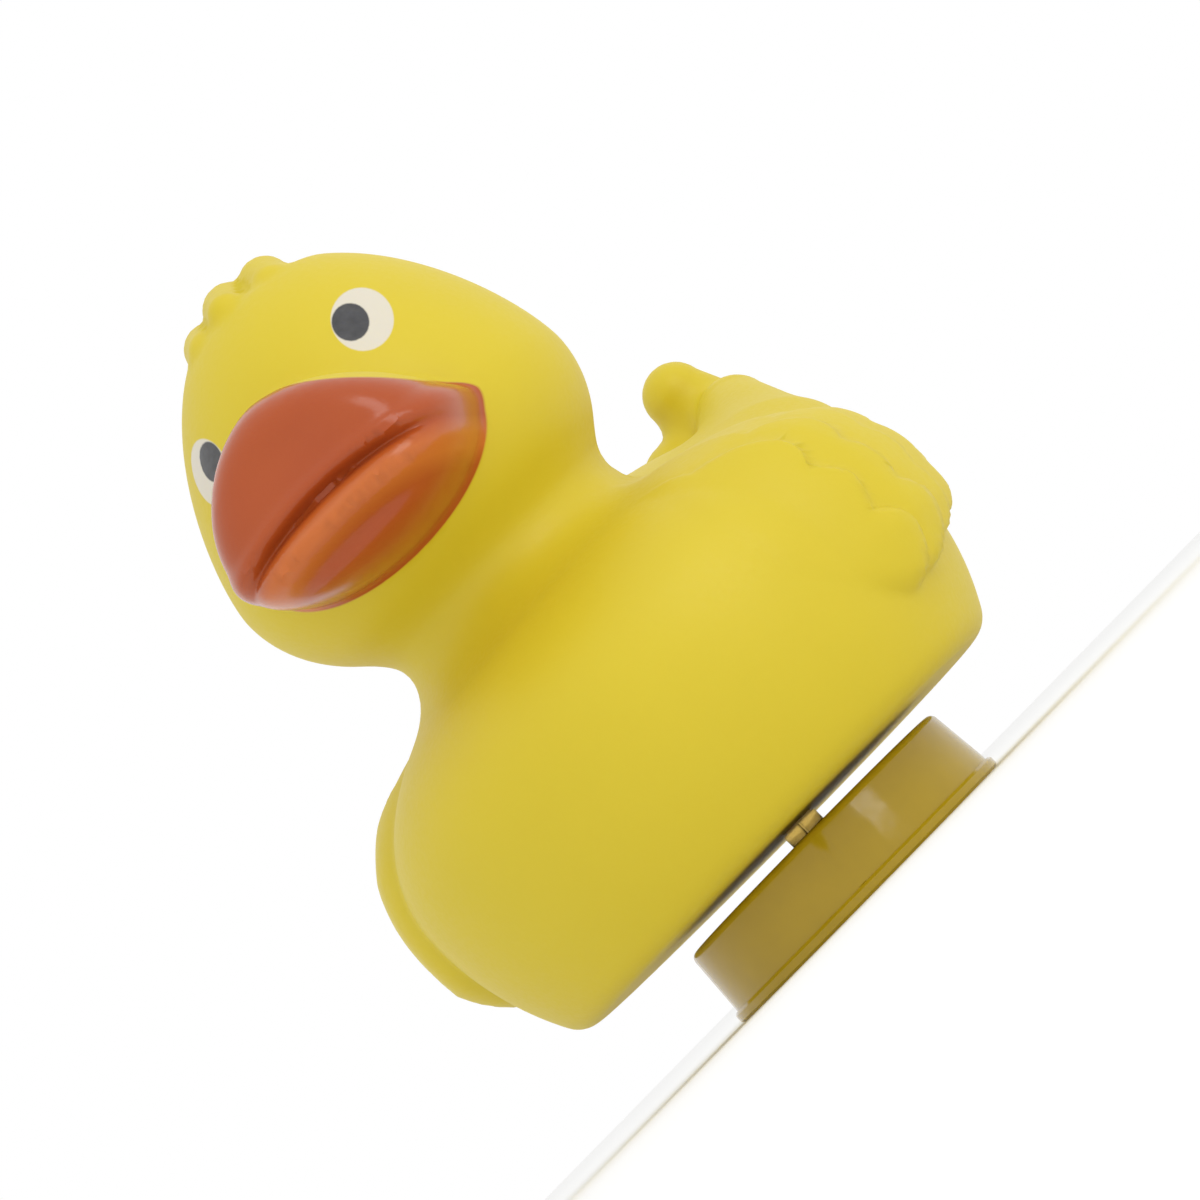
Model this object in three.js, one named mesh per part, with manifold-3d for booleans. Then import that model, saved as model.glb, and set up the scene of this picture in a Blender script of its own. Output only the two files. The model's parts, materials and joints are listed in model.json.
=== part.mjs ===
// A hollow vinyl bath duck that stands on a round moulded foot, in millimetres, +Z up.
// The origin is the centre of the foot's underside, and the duck's body faces -Y.
import * as THREE from "three";
import { ParametricGeometry } from "three/addons/geometries/ParametricGeometry.js";
import { mergeVertices } from "three/addons/utils/BufferGeometryUtils.js";
import Module from "manifold-3d";

const { clamp, degToRad, lerp, smoothstep } = THREE.MathUtils;

// Driving dimensions of the duck's trunk.
const WALL = 2;
const BASE_Z = 12.8;
const BASE_EDGE = 2.2;
const HULL = { halfWidth: 41, front: 37.5, back: 48, y: -5, z: 33, above: 24, below: 39.3, fullness: 2.2 };
const RUMP = { y: 32, z: 42.5, radii: [28, 28, 16.5], tilt: 13 };
const BACK_LINE = { from: [0, 4, 54], to: [0, 46, 53], fromRadius: 11, toRadius: 7 };
const TAIL_ROOT = { from: [0, 42, 43.5], to: [0, 66, 54.5], fromRadius: 14, toRadius: 7.8 };
const TAIL_CHEEK = { from: [12.5, 46.5, 48.5], to: [6.6, 63.5, 61], fromRadius: 10.5, toRadius: 5.6 };
const TAIL_TIP = { from: [0, 71, 60], to: [0, 67.9, 70.2], fromRadius: 8, toRadius: 4.9 };
const WING = { thickness: 4.3, front: [-23, -15], back: [18, 29], low: [19, 26], high: [46, 54], innerX: 12 };
const TRUNK_AXIS = { bodyZ: 33, tailZ: 58, fromY: 5, toY: 60 };
const FILLETS = { rump: 9, tail: 5, backLine: 7, wing: 1.5, neck: 7, head: 4 };

// Driving dimensions of the head. The bill and the curls are given in the head's own frame, facing -Y.
const NECK = { y: -6.5, z: 57, radius: 17.4, reach: 9 };
const HEAD = { y: -8.7, z: 77, radius: 26.4, above: 32.6, below: 19.8, point: 1.5, yaw: 17, roll: 3 };
const HEAD_FROM_Z = 47;
const SHOULDER = { radius: 28, overlap: 0.35 };
const BILL = { halfWidth: 17.3, z: -1.6, above: 15.6, below: 9.1, crown: 1.6, root: 10, length: 29, bluntness: 5 };
const MOUTH = { z: -1.3, sag: 2.9, halfWidth: 17, width: 1.3, depth: 2 };
const CURLS = [
  { from: [-6.8, 0, 29.4], to: [-5.4, -6.8, 27.8], fromRadius: 3.5, toRadius: 2.6 },
  { from: [-1.4, -0.6, 31], to: [-0.4, -7.6, 29], fromRadius: 3.6, toRadius: 2.7 },
  { from: [4, 0.4, 30.4], to: [5.6, -5.2, 28.2], fromRadius: 3.6, toRadius: 2.7 },
  { from: [-9.4, 2, 26.8], to: [-10.2, -2.8, 25], fromRadius: 2.8, toRadius: 2.2 },
  { from: [7.2, 4.4, 27.8], to: [8.8, 0.8, 25.8], fromRadius: 2.9, toRadius: 2.2 },
  { from: [-3.8, 5.6, 29.2], to: [-5.6, 9.2, 26.2], fromRadius: 3.3, toRadius: 2.4 },
  { from: [2.2, 5.8, 29.4], to: [3.8, 9.6, 26.2], fromRadius: 3.3, toRadius: 2.4 },
];

// Driving dimensions of the foot: a tapered disc, a stem and a head that snaps inside the duck.
const CLEARANCE = 0.3;
const FOOT = { lipRadius: 22.6, lipHeight: 1.6, rootRadius: 22, topRadius: 21.4, height: 10.4, edge: 1 };
const STEM_RADIUS = 2.65;
const HOLE_RADIUS = 2.45;
const PLUG_NECK_RADIUS = HOLE_RADIUS - CLEARANCE;
const PLUG_HEAD = { radius: 4.2, height: 3.4 };

// How finely the surfaces are faceted.
const TRUNK_FACETS = { around: 52, along: 44 };
const HEAD_FACETS = { around: 36, along: 24 };
const BILL_FACETS = { around: 56, along: 20 };
const INNER_SHARE = 0.5;
const ROUND_SEGMENTS = 40;
const SMALL_SEGMENTS = 10;
const HOLE_SEGMENTS = 18;
const EDGE_STEPS = 3;
const CAP_STEPS = 3;
const END_CROWDING = 0.6;
const LONGEST_REACH = 90;
const REACH_TOLERANCE = 1e-4;

const wasm = await Module();
wasm.setup();

/** Turns a closed three.js geometry into a manifold-3d solid. */
function solid(geometry) {
  const bare = geometry.index ? geometry.toNonIndexed() : geometry.clone();
  bare.deleteAttribute("normal");
  bare.deleteAttribute("uv");
  const merged = mergeVertices(bare, 1e-3);
  const mesh = new wasm.Mesh({
    numProp: 3,
    vertProperties: merged.attributes.position.array,
    triVerts: new Uint32Array(merged.index.array),
  });
  return new wasm.Manifold(mesh);
}

/** Turns a manifold-3d solid back into a three.js geometry. */
function geometryOf(body) {
  const mesh = body.getMesh();
  const geometry = new THREE.BufferGeometry();
  geometry.setAttribute("position", new THREE.BufferAttribute(mesh.vertProperties.slice(), mesh.numProp));
  geometry.setIndex(new THREE.BufferAttribute(mesh.triVerts, 1));
  geometry.computeVertexNormals();
  return geometry;
}

/** A closed surface of revolution about +Z through (radius, height) points that start and end on the axis. */
function turned(points, segments = ROUND_SEGMENTS) {
  return new THREE.LatheGeometry(points, segments).rotateX(Math.PI / 2);
}

/** The smaller of two distances, with a round fillet where they are about equal. */
function blend(a, b, width) {
  const share = clamp(0.5 + (b - a) / (2 * width), 0, 1);
  return lerp(b, a, share) - width * share * (1 - share);
}

/** The larger of two distances, with a rounded edge where they are about equal. */
function trim(a, b, width) {
  return -blend(-a, -b, width);
}

/** How far a point is outside a form whose plan share and height share meet along a power curve. */
function formDistance(plan, height, planPower, heightPower, radius, rise) {
  const level = plan ** planPower + height ** heightPower;
  const share = level ** (1 / planPower);
  const slope = Math.hypot(
    (plan / share) ** (planPower - 1) / radius,
    ((heightPower / planPower) * height ** (heightPower - 1)) / (share ** (planPower - 1) * rise),
  );
  return (share - 1) / slope;
}

/** Distance from a rod with round ends, whose radius changes evenly from end to end. */
function rodDistance(rod, point) {
  const from = new THREE.Vector3(...rod.from);
  const run = new THREE.Vector3(...rod.to).sub(from);
  const offset = point.clone().sub(from);
  const share = clamp(offset.dot(run) / run.lengthSq(), 0, 1);
  return offset.addScaledVector(run, -share).length() - lerp(rod.fromRadius, rod.toRadius, share);
}

/** Distance from the hull: its plan is two half ellipses, and it is fuller above its middle. */
function hullDistance({ x, y, z }) {
  const reach = y < HULL.y ? HULL.front : HULL.back;
  const rise = z < HULL.z ? HULL.below : HULL.above;
  const power = z < HULL.z ? 2 : HULL.fullness;
  const plan = Math.hypot(x / HULL.halfWidth, (y - HULL.y) / reach) + Number.EPSILON;
  return formDistance(plan, Math.abs(z - HULL.z) / rise, power, power, HULL.halfWidth, rise);
}

/** Distance from the rump, an ellipsoid tipped up at the back. */
function rumpDistance({ x, y, z }) {
  const turnedBack = new THREE.Vector3(x, y - RUMP.y, z - RUMP.z);
  turnedBack.applyAxisAngle(new THREE.Vector3(1, 0, 0), -degToRad(RUMP.tilt));
  const radii = new THREE.Vector3(...RUMP.radii);
  const shares = turnedBack.divide(radii);
  const size = shares.length();
  return (size * (size - 1)) / (shares.divide(radii).length() + Number.EPSILON);
}

/** Distance from the hull, rump, back line and tail blended together, without the wings. */
function bodyDistance(point) {
  const mirrored = new THREE.Vector3(Math.abs(point.x), point.y, point.z);
  const rump = blend(rumpDistance(point), rodDistance(TAIL_ROOT, point), FILLETS.rump);
  const stern = blend(rump, rodDistance(TAIL_CHEEK, mirrored), FILLETS.tail);
  const hull = blend(hullDistance(point), stern, FILLETS.rump);
  const backed = blend(hull, rodDistance(BACK_LINE, point), FILLETS.backLine);
  return blend(backed, rodDistance(TAIL_TIP, point), FILLETS.tail);
}

/** Distance from the trunk: the body with a raised wing on each flank, cut flat at the base. */
function trunkDistance(point) {
  const body = bodyDistance(point);
  const lengthways = smoothstep(point.y, ...WING.front) * (1 - smoothstep(point.y, ...WING.back));
  const upright = smoothstep(point.z, ...WING.low) * (1 - smoothstep(point.z, ...WING.high));
  const wing = Math.max(body - WING.thickness * lengthways * upright, WING.innerX - Math.abs(point.x));
  return trim(blend(body, wing, FILLETS.wing), BASE_Z - point.z, BASE_EDGE);
}

/** Distance from the head, an egg with its point at the crown, which leans to the duck's left. */
function eggDistance({ x, y, z }) {
  const place = new THREE.Vector3(x, y - HEAD.y, z - HEAD.z);
  place.applyAxisAngle(new THREE.Vector3(0, 0, 1), -degToRad(HEAD.yaw));
  place.applyAxisAngle(new THREE.Vector3(0, 1, 0), -degToRad(HEAD.roll));
  const rise = place.z < 0 ? HEAD.below : HEAD.above;
  const power = place.z < 0 ? 2 : HEAD.point;
  const plan = Math.hypot(place.x, place.y) / HEAD.radius + Number.EPSILON;
  return formDistance(plan, Math.abs(place.z) / rise, 2, power, HEAD.radius, rise);
}

/** Distance from the head and neck, which flare into shoulders that end just inside the trunk. */
function headDistance(point) {
  const neckSide = Math.hypot(point.x, point.y - NECK.y) - NECK.radius;
  const neck = Math.max(neckSide, Math.abs(point.z - NECK.z) - NECK.reach);
  const upper = blend(eggDistance(point), neck, FILLETS.head);
  return blend(bodyDistance(point) + SHOULDER.overlap, upper, FILLETS.neck);
}

/** How far a form's surface, or its inner face, lies from a centre in a direction. */
function reach(form, centre, direction, inset) {
  let inner = 0;
  let outer = LONGEST_REACH;
  while (outer - inner > REACH_TOLERANCE) {
    const middle = (inner + outer) / 2;
    const there = form(centre.clone().addScaledVector(direction, middle));
    if (there + inset < 0) inner = middle;
    else outer = middle;
  }
  return inner;
}

/** A share from 0 to 1 with its steps drawn together towards both ends. */
function crowded(share) {
  return lerp(share, (1 - Math.cos(Math.PI * share)) / 2, END_CROWDING);
}

/** The trunk as one loft of upright sections, from the breast to the back of the tail. */
function trunkForm(inset, facets) {
  const breast = new THREE.Vector3(0, HULL.y, TRUNK_AXIS.bodyZ);
  const front = HULL.y - reach(trunkDistance, breast, new THREE.Vector3(0, -1, 0), inset);
  const tail = new THREE.Vector3(0, TRUNK_AXIS.toY, TRUNK_AXIS.tailZ);
  const rear = TRUNK_AXIS.toY + reach(trunkDistance, tail, new THREE.Vector3(0, 1, 0), inset);
  const place = (u, v, target) => {
    const y = lerp(front, rear, crowded(v));
    const rise = smoothstep(y, TRUNK_AXIS.fromY, TRUNK_AXIS.toY);
    const centre = new THREE.Vector3(0, y, lerp(TRUNK_AXIS.bodyZ, TRUNK_AXIS.tailZ, rise));
    const angle = -2 * Math.PI * u;
    const direction = new THREE.Vector3(Math.cos(angle), 0, Math.sin(angle));
    const length = v === 0 || v === 1 ? 0 : reach(trunkDistance, centre, direction, inset);
    target.copy(centre).addScaledVector(direction, length);
  };
  return solid(new ParametricGeometry(place, facets.around, facets.along));
}

/** The neck and head as one loft of level rings, from inside the shoulders to the crown. */
function headForm(inset, facets) {
  const high = HEAD.z + HEAD.above - inset;
  const place = (u, v, target) => {
    const ring = Math.max(0, v - 1 / facets.along) / (1 - 1 / facets.along);
    const centre = new THREE.Vector3(0, HEAD.y, lerp(HEAD_FROM_Z, high, crowded(ring)));
    const angle = 2 * Math.PI * u;
    const direction = new THREE.Vector3(Math.cos(angle), Math.sin(angle), 0);
    const radius = Math.min(reach(headDistance, centre, direction, inset), SHOULDER.radius);
    target.copy(centre).addScaledVector(direction, v === 0 || v === 1 ? 0 : radius);
  };
  return solid(new ParametricGeometry(place, facets.around, facets.along));
}

/** Moves a geometry from the head's own frame to its turned place on the neck. */
function placeOnHead(geometry) {
  return geometry.rotateY(degToRad(HEAD.roll)).rotateZ(degToRad(HEAD.yaw)).translate(0, HEAD.y, HEAD.z);
}

/** The bill: a blunt scoop whose front is grooved along the sagging mouth line. */
function billForm(inset, facets) {
  const place = (u, v, target) => {
    const angle = 2 * Math.PI * u;
    const aside = Math.cos(angle);
    const up = Math.sin(angle);
    const power = up > 0 ? BILL.crown : 2;
    const rise = (up > 0 ? BILL.above : BILL.below) - inset;
    const width = BILL.halfWidth - inset;
    const size = (Math.abs(aside / width) ** power + Math.abs(up / rise) ** power) ** (-1 / power);
    const atBack = v === 0;
    const forward = Math.max(0, v - 1 / facets.along) / (1 - 1 / facets.along);
    const past = Math.sin((Math.PI / 2) * forward);
    const narrowing = v === 1 ? 0 : (1 - past ** BILL.bluntness) ** (1 / BILL.bluntness);
    const x = atBack ? 0 : aside * size * narrowing;
    const z = atBack ? BILL.z : BILL.z + up * size * narrowing;
    const line = MOUTH.z - MOUTH.sag * (x / MOUTH.halfWidth) ** 2;
    const groove = MOUTH.depth * Math.exp(-(((z - line) / MOUTH.width) ** 2));
    const length = BILL.length - inset - groove;
    target.set(x, -BILL.root - length * past, z);
  };
  return solid(placeOnHead(new ParametricGeometry(place, facets.around, facets.along)));
}

/** A short rod with round ends, as a closed geometry. */
function roundRod(rod) {
  const from = new THREE.Vector3(...rod.from);
  const run = new THREE.Vector3(...rod.to).sub(from);
  const length = run.length();
  const points = [];
  for (let step = 0; step <= CAP_STEPS; step++) {
    const angle = (-Math.PI / 2) * (1 - step / CAP_STEPS);
    const out = step > 0 ? rod.fromRadius * Math.cos(angle) : 0;
    points.push(new THREE.Vector2(out, rod.fromRadius * Math.sin(angle)));
  }
  for (let step = 0; step <= CAP_STEPS; step++) {
    const angle = (Math.PI / 2) * (step / CAP_STEPS);
    const out = step < CAP_STEPS ? rod.toRadius * Math.cos(angle) : 0;
    points.push(new THREE.Vector2(out, length + rod.toRadius * Math.sin(angle)));
  }
  const turn = new THREE.Quaternion().setFromUnitVectors(new THREE.Vector3(0, 0, 1), run.normalize());
  return turned(points, SMALL_SEGMENTS).applyQuaternion(turn).translate(...rod.from);
}

/** The tuft on the crown: short curls that lie over the top of the head. */
function tuftForm() {
  const curls = CURLS.map((curl) => solid(placeOnHead(roundRod(curl))));
  return curls.reduce((all, curl) => all.add(curl));
}

/** The facet counts for an inner face, about half as many each way. */
function coarser(facets) {
  return {
    around: 2 * Math.round((facets.around * INNER_SHARE) / 2),
    along: Math.round(facets.along * INNER_SHARE),
  };
}

/** The hollow inside the duck, one wall's thickness in from its trunk, head and bill. */
function hollowForm() {
  return trunkForm(WALL, coarser(TRUNK_FACETS))
    .add(headForm(WALL, coarser(HEAD_FACETS)))
    .add(billForm(WALL, coarser(BILL_FACETS)));
}

/** A closed round pin between two heights on the foot's axis. */
function pin(radius, fromZ, toZ, segments) {
  const geometry = new THREE.CylinderGeometry(radius, radius, toZ - fromZ, segments);
  return solid(geometry.rotateX(Math.PI / 2).translate(0, 0, (fromZ + toZ) / 2));
}

/** The duck: one thin vinyl shell with a round hole in its base for the stem. */
function makeDuck() {
  const outside = trunkForm(0, TRUNK_FACETS)
    .add(headForm(0, HEAD_FACETS))
    .add(billForm(0, BILL_FACETS))
    .add(tuftForm());
  const hole = pin(HOLE_RADIUS, BASE_Z - WALL, BASE_Z + 2 * WALL, HOLE_SEGMENTS);
  return outside.subtract(hollowForm()).subtract(hole);
}

/** The foot's outline: a tapered disc with a lip, and the stem that snaps into the duck's base. */
function footPoints() {
  const shoulderZ = BASE_Z - CLEARANCE;
  const headZ = BASE_Z + WALL + CLEARANCE;
  const edge = new THREE.QuadraticBezierCurve(
    new THREE.Vector2(FOOT.topRadius, FOOT.height - FOOT.edge),
    new THREE.Vector2(FOOT.topRadius, FOOT.height),
    new THREE.Vector2(FOOT.topRadius - FOOT.edge, FOOT.height),
  );
  const cap = new THREE.QuadraticBezierCurve(
    new THREE.Vector2(PLUG_HEAD.radius, headZ + PLUG_HEAD.height / 3),
    new THREE.Vector2(PLUG_HEAD.radius, headZ + PLUG_HEAD.height),
    new THREE.Vector2(0, headZ + PLUG_HEAD.height),
  );
  return [
    new THREE.Vector2(0, 0),
    new THREE.Vector2(FOOT.lipRadius, 0),
    new THREE.Vector2(FOOT.lipRadius, FOOT.lipHeight),
    new THREE.Vector2(FOOT.rootRadius, FOOT.lipHeight),
    ...edge.getPoints(EDGE_STEPS),
    new THREE.Vector2(STEM_RADIUS, FOOT.height),
    new THREE.Vector2(STEM_RADIUS, shoulderZ),
    new THREE.Vector2(PLUG_NECK_RADIUS, shoulderZ),
    new THREE.Vector2(PLUG_NECK_RADIUS, headZ),
    new THREE.Vector2(PLUG_HEAD.radius, headZ),
    ...cap.getPoints(EDGE_STEPS + 1),
  ];
}

const yellowVinyl = new THREE.MeshStandardMaterial({ color: 0xdeca3e, roughness: 0.45, metalness: 0 });
const amberVinyl = new THREE.MeshStandardMaterial({ color: 0xaa9632, roughness: 0.25, metalness: 0 });

const duckBody = new THREE.Mesh(geometryOf(makeDuck()), yellowVinyl);
duckBody.name = "duck_body";

const footPlug = new THREE.Mesh(turned(footPoints()), amberVinyl);
footPlug.name = "foot_plug";

const rubberDuck = new THREE.Group();
rubberDuck.add(duckBody, footPlug);

export default rubberDuck;
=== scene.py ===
"""A rubber duck on its round display foot.

The duck is a blown vinyl skin with a painted bill and eyes, and the foot is one moulding.  Lengths in
the classes are millimetres unless a comment says otherwise; MM turns them into the scene's metres.  +Z
is up, the duck looks towards -Y, and the foot's axis is the Z axis.
"""

from __future__ import annotations

import json
import logging
import math
from dataclasses import dataclass, field
from enum import Enum
from typing import Callable

import bpy
import numpy as np
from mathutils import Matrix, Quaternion, Vector

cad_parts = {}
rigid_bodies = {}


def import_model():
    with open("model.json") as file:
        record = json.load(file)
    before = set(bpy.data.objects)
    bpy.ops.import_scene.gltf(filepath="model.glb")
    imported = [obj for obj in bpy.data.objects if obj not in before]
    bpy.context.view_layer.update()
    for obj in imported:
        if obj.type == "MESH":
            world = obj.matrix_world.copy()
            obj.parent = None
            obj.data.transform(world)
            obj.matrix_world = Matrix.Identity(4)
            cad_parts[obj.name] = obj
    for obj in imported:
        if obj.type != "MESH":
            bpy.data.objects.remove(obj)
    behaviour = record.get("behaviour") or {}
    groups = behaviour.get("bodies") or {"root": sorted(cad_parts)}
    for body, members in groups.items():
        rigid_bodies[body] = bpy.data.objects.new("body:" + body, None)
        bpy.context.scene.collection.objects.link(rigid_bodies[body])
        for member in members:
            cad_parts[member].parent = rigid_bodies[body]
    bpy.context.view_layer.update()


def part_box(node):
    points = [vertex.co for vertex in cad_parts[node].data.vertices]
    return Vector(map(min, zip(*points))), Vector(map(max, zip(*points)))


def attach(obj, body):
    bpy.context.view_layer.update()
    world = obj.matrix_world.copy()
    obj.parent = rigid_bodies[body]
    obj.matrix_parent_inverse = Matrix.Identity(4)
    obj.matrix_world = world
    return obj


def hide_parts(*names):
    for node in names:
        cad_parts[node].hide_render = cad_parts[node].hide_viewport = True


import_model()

log = logging.getLogger("duck")

MM = 0.001
TINY = 1e-9
BALL_SIDES = 48  # round an ellipsoid's blank
ROD_SIDES = 32  # round a rod's blank
NOISE_RANGE = (0.3, 0.7)  # where nearly all of a noise's values lie

Points = np.ndarray  # three rows: x, y and z
Values = np.ndarray  # one number for each point
Place = tuple[float, float, float]
Colour = tuple[float, float, float]
Form = Callable[[Points], Values]


class Part(Enum):
    """The visible pieces, by the frame node that each stands for."""

    SKIN = "duck_body"
    FOOT = "foot_plug"


class Slot(Enum):
    """The record's material slots."""

    VINYL = "yellow_vinyl"
    AMBER = "amber_vinyl"


# --- Blended forms: each gives the distance to its surface, negative inside ---


def join(first: Values, second: Values, reach: float) -> Values:
    """Joins two forms with a soft fillet that spreads its reach to each side of the seam."""
    share = np.clip(0.5 + 0.5 * (second - first) / reach, 0.0, 1.0)
    return second + (first - second) * share - reach * share * (1.0 - share)


def trim(first: Values, second: Values, reach: float) -> Values:
    """Keeps what two forms share, with an edge that is rounded over the reach."""
    return -join(-first, -second, reach)


def deselect() -> None:
    """Leaves nothing selected."""
    bpy.ops.object.select_all(action="DESELECT")


def take(*pieces: bpy.types.Object) -> None:
    """Selects the given pieces alone and makes the first one active.

    Args:
        pieces: the pieces.
    """
    deselect()
    for piece in pieces:
        piece.select_set(True)
    bpy.context.view_layer.objects.active = pieces[0]


def read_places(items: bpy.types.bpy_prop_collection, name: str) -> Points:
    """Reads a place from each of a mesh's vertices or faces.

    Args:
        items: the vertices or the faces.
        name: what the place is called there.

    Returns:
        The places, in millimetres.
    """
    places = np.empty(len(items) * 3)
    items.foreach_get(name, places)
    return places.reshape(-1, 3).T / MM


@dataclass(frozen=True)
class Swell:
    """An ellipsoid that can be pitched; the turn is only for its blank."""

    centre: Place
    radii: Place
    pitch: float = 0.0
    turn: float = 0.0

    def distance(self, points: Points) -> Values:
        """Measures to the ellipsoid.

        Args:
            points: where to measure.

        Returns:
            The distances, nearly exact close to the surface.
        """
        x, y, z = (points[axis] - self.centre[axis] for axis in range(3))
        cosine, sine = math.cos(self.pitch), math.sin(self.pitch)
        sides = (x, cosine * y + sine * z, cosine * z - sine * y)
        shares = [side / radius for side, radius in zip(sides, self.radii)]
        size = np.sqrt(sum(share**2 for share in shares))
        steep = np.sqrt(sum((share / radius) ** 2 for share, radius in zip(shares, self.radii)))
        return size * (size - 1.0) / (steep + TINY)

    def add_blank(self) -> None:
        """Adds the ellipsoid's blank as a primitive at its size and place."""
        bpy.ops.mesh.primitive_uv_sphere_add(
            segments=BALL_SIDES,
            ring_count=BALL_SIDES // 2,
            radius=1.0,
            location=[place * MM for place in self.centre],
            rotation=(self.pitch, 0.0, self.turn),
            scale=[radius * MM for radius in self.radii],
        )


@dataclass(frozen=True)
class Taper:
    """A round rod with ball ends, whose radius changes evenly from foot to tip."""

    foot: Place
    tip: Place
    foot_radius: float
    tip_radius: float

    def distance(self, points: Points) -> Values:
        """Measures to the rod.

        Args:
            points: where to measure.

        Returns:
            The distances.
        """
        run = np.subtract(self.tip, self.foot)
        offset = [points[axis] - self.foot[axis] for axis in range(3)]
        along = sum(offset[axis] * run[axis] for axis in range(3)) / run.dot(run)
        along = np.clip(along, 0.0, 1.0)
        aside = np.sqrt(sum((offset[axis] - along * run[axis]) ** 2 for axis in range(3)))
        return aside - self.foot_radius - (self.tip_radius - self.foot_radius) * along

    def add_blank(self) -> None:
        """Adds a ball at each end and a cone between them."""
        foot, tip = Vector(self.foot) * MM, Vector(self.tip) * MM
        for place, radius in ((foot, self.foot_radius), (tip, self.tip_radius)):
            bpy.ops.mesh.primitive_uv_sphere_add(
                segments=ROD_SIDES, ring_count=ROD_SIDES // 2, radius=radius * MM, location=place
            )
        bpy.ops.mesh.primitive_cone_add(
            vertices=ROD_SIDES,
            radius1=self.foot_radius * MM,
            radius2=self.tip_radius * MM,
            depth=(tip - foot).length,
            location=(foot + tip) / 2,
            rotation=(tip - foot).to_track_quat("Z", "Y").to_euler(),
        )


# --- The duck's forms ---


@dataclass(frozen=True)
class Torso:
    """The full round body: an oval in plan, boxier above its widest height than below it."""

    middle_y: float = -5.0
    middle_z: float = 33.0
    half_width: float = 41.0
    front: float = 37.5
    back: float = 48.0
    above: float = 24.0
    below: float = 39.3
    tuck: float = 7.0  # how much sooner the underside closes at the back
    fullness_above: float = 2.2
    fullness_below: float = 2.0
    least_slope: float = 0.012
    rump: Swell = Swell((0.0, 32.0, 42.5), (28.0, 28.0, 16.5), math.radians(13.0))
    back_line: Taper = Taper((0.0, 4.0, 54.0), (0.0, 46.0, 53.0), 11.0, 7.0)
    tail_root: Taper = Taper((0.0, 42.0, 43.5), (0.0, 66.0, 54.5), 14.0, 7.8)
    tail_cheek: Taper = Taper((12.5, 46.5, 48.5), (6.6, 63.5, 61.0), 10.5, 5.6)
    tail_tip: Taper = Taper((0.0, 71.0, 60.0), (0.0, 67.9, 70.2), 8.0, 4.9)
    tuck_power: float = 1.5
    stern_fillet: float = 9.0
    cheek_fillet: float = 5.0
    back_fillet: float = 7.0
    blank_rise: float = 1.4  # the blank's half height for each unit above the widest height

    def hull(self, points: Points) -> Values:
        """Measures to the oval hull alone.

        Args:
            points: where to measure.

        Returns:
            The distances.
        """
        x, y, z = points[0], points[1] - self.middle_y, points[2] - self.middle_z
        reach = np.where(y < 0.0, self.front, self.back)
        below = self.below - self.tuck * np.clip(y / self.back, 0.0, 1.0) ** self.tuck_power
        height = np.where(z > 0.0, self.above, below)
        power = np.where(z > 0.0, self.fullness_above, self.fullness_below)
        plan = np.sqrt((x / self.half_width) ** 2 + (y / reach) ** 2) + TINY
        rise = np.abs(z) / height
        size = (plan**power + rise**power + TINY) ** (1.0 / power)
        share = (plan / size) ** (power - 1.0) / plan
        slope = (
            (share * x / self.half_width**2) ** 2
            + (share * y / reach**2) ** 2
            + ((rise / size) ** (power - 1.0) / height) ** 2
        )
        return (size - 1.0) / np.maximum(np.sqrt(slope), self.least_slope)

    def distance(self, points: Points) -> Values:
        """Measures to the hull with its rump, back line and tail root.

        Args:
            points: where to measure.

        Returns:
            The distances.
        """
        mirrored = np.stack([np.abs(points[0]), points[1], points[2]])
        stern = join(self.rump.distance(points), self.tail_root.distance(points), self.stern_fillet)
        stern = join(stern, self.tail_cheek.distance(mirrored), self.cheek_fillet)
        whole = join(self.hull(points), stern, self.stern_fillet)
        return join(whole, self.back_line.distance(points), self.back_fillet)

    def add_blanks(self, base: float) -> None:
        """Adds the blanks of the hull, cut flat at the base, and of the stern.

        Args:
            base: height of the flat base.
        """
        length = (self.front + self.back) / 2
        middle = self.middle_y + (self.back - self.front) / 2
        radii = (self.half_width, length, self.above * self.blank_rise)
        Swell((0.0, middle, self.middle_z), radii).add_blank()
        bpy.ops.object.mode_set(mode="EDIT")
        bpy.ops.mesh.bisect(
            plane_co=(0.0, 0.0, base * MM), plane_no=(0.0, 0.0, 1.0), use_fill=True, clear_inner=True
        )
        bpy.ops.object.mode_set(mode="OBJECT")
        cheek = self.tail_cheek
        flip = (-1.0, 1.0, 1.0)
        far_foot, far_tip = (tuple(np.multiply(end, flip)) for end in (cheek.foot, cheek.tip))
        far_cheek = Taper(far_foot, far_tip, cheek.foot_radius, cheek.tip_radius)
        for form in (self.rump, self.back_line, self.tail_root, self.tail_tip, cheek, far_cheek):
            form.add_blank()


@dataclass(frozen=True)
class FeatherRow:
    """One row of feathers: each tip is (back, up, radius), seen from the side."""

    tips: tuple[Place, ...]
    notch: float = 0.5  # how softly neighbouring tips meet

    def outline(self, back: Values, up: Values) -> Values:
        """Measures, from the side, to the scalloped region in front of the tips.

        Args:
            back: places along the duck.
            up: heights.

        Returns:
            The distances to the scalloped edge.
        """
        edge = None
        for tip_back, tip_up, radius in self.tips:
            past = back - (tip_back - radius)
            off = up - tip_up
            lobe = np.where(past > 0.0, np.hypot(past, off), np.abs(off)) - radius
            edge = lobe if edge is None else join(edge, lobe, self.notch)
        return edge

    def middle(self) -> float:
        """Gives the row's mean tip place along the duck."""
        return sum(tip[0] for tip in self.tips) / len(self.tips)


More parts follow.
